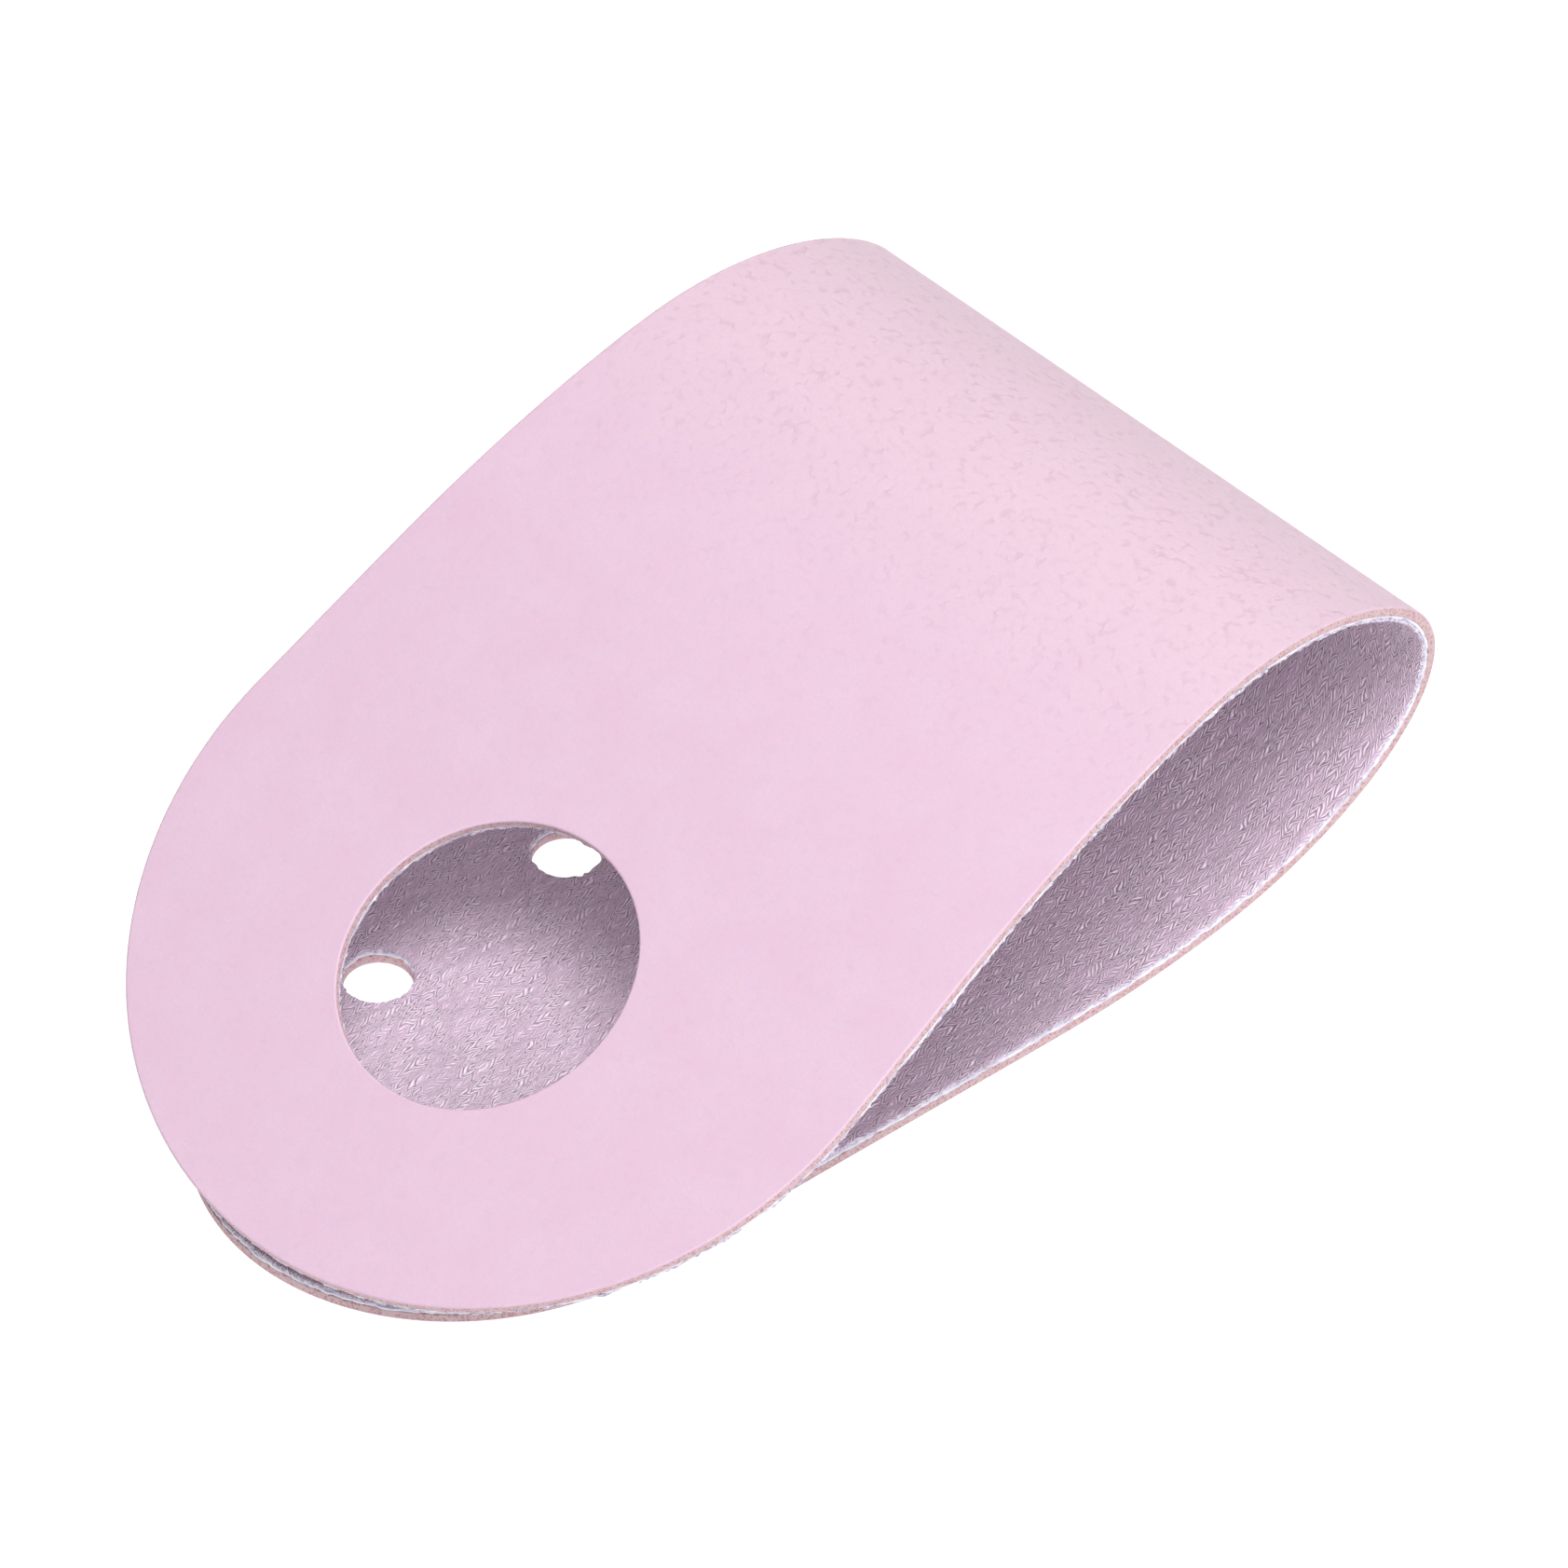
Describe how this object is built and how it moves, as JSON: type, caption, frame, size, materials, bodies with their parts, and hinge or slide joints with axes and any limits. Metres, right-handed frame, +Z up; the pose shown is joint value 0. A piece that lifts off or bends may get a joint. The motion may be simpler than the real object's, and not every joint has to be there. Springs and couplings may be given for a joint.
{
  "type": "wrist support brace",
  "caption": "Folded strip of bonded leather with a round wide end, a thumb hole and small lacing holes, which wraps over the wrist and palm.",
  "frame": {"origin": "centre of the bounding box in X and Y, on the surface that the brace lies on", "axes": "+X from the two tips towards the fold, +Y across the brace, which is symmetric about the XZ plane, +Z up"},
  "size_m": [0.1256, 0.0844, 0.0419],
  "materials": {
    "leather": "fine pebble grain, matt satin",
    "bonding_foam": "matt open foam",
    "knit_lining": "brushed loop knit"
  },
  "bodies": {
    "lower_flap": {"lower_flap_leather": "leather", "lower_flap_bond": "bonding_foam", "lower_flap_lining": "knit_lining"},
    "bend_1": {"bend_1_leather": "leather", "bend_1_bond": "bonding_foam", "bend_1_lining": "knit_lining"},
    "bend_2": {"bend_2_leather": "leather", "bend_2_bond": "bonding_foam", "bend_2_lining": "knit_lining"},
    "bend_3": {"bend_3_leather": "leather", "bend_3_bond": "bonding_foam", "bend_3_lining": "knit_lining"},
    "bend_4": {"bend_4_leather": "leather", "bend_4_bond": "bonding_foam", "bend_4_lining": "knit_lining"},
    "bend_5": {"bend_5_leather": "leather", "bend_5_bond": "bonding_foam", "bend_5_lining": "knit_lining"},
    "bend_6": {"bend_6_leather": "leather", "bend_6_bond": "bonding_foam", "bend_6_lining": "knit_lining"},
    "bend_7": {"bend_7_leather": "leather", "bend_7_bond": "bonding_foam", "bend_7_lining": "knit_lining"},
    "upper_flap": {"upper_flap_leather": "leather", "upper_flap_bond": "bonding_foam", "upper_flap_lining": "knit_lining"}
  },
  "joints": [
    {"name": "fold_1", "type": "hinge", "parent": "lower_flap", "child": "bend_1", "pos_m": [0.03794, 0, 0.00243], "axis": [0, 1, 0], "range_deg": [0, 25.6], "stiffness_Nm_per_rad": 0.02},
    {"name": "fold_2", "type": "hinge", "parent": "bend_1", "child": "bend_2", "pos_m": [0.05504, 0, 0.01062], "axis": [0, 1, 0], "range_deg": [0, 25.6], "stiffness_Nm_per_rad": 0.02},
    {"name": "fold_3", "type": "hinge", "parent": "bend_2", "child": "bend_3", "pos_m": [0.06152, 0, 0.01868], "axis": [0, 1, 0], "range_deg": [0, 25.6], "stiffness_Nm_per_rad": 0.02},
    {"name": "fold_4", "type": "hinge", "parent": "bend_3", "child": "bend_4", "pos_m": [0.06279, 0, 0.02411], "axis": [0, 1, 0], "range_deg": [0, 25.6], "stiffness_Nm_per_rad": 0.02},
    {"name": "fold_5", "type": "hinge", "parent": "bend_4", "child": "bend_5", "pos_m": [0.0616, 0, 0.02956], "axis": [0, 1, 0], "range_deg": [0, 25.6], "stiffness_Nm_per_rad": 0.02},
    {"name": "fold_6", "type": "hinge", "parent": "bend_5", "child": "bend_6", "pos_m": [0.05816, 0, 0.03395], "axis": [0, 1, 0], "range_deg": [0, 25.6], "stiffness_Nm_per_rad": 0.02},
    {"name": "fold_7", "type": "hinge", "parent": "bend_6", "child": "bend_7", "pos_m": [0.04455, 0, 0.04071], "axis": [0, 1, 0], "range_deg": [0, 25.6], "stiffness_Nm_per_rad": 0.02},
    {"name": "fold_8", "type": "hinge", "parent": "bend_7", "child": "upper_flap", "pos_m": [0.02628, 0, 0.04096], "axis": [0, 1, 0], "range_deg": [0, 25.6], "stiffness_Nm_per_rad": 0.02}
  ]
}
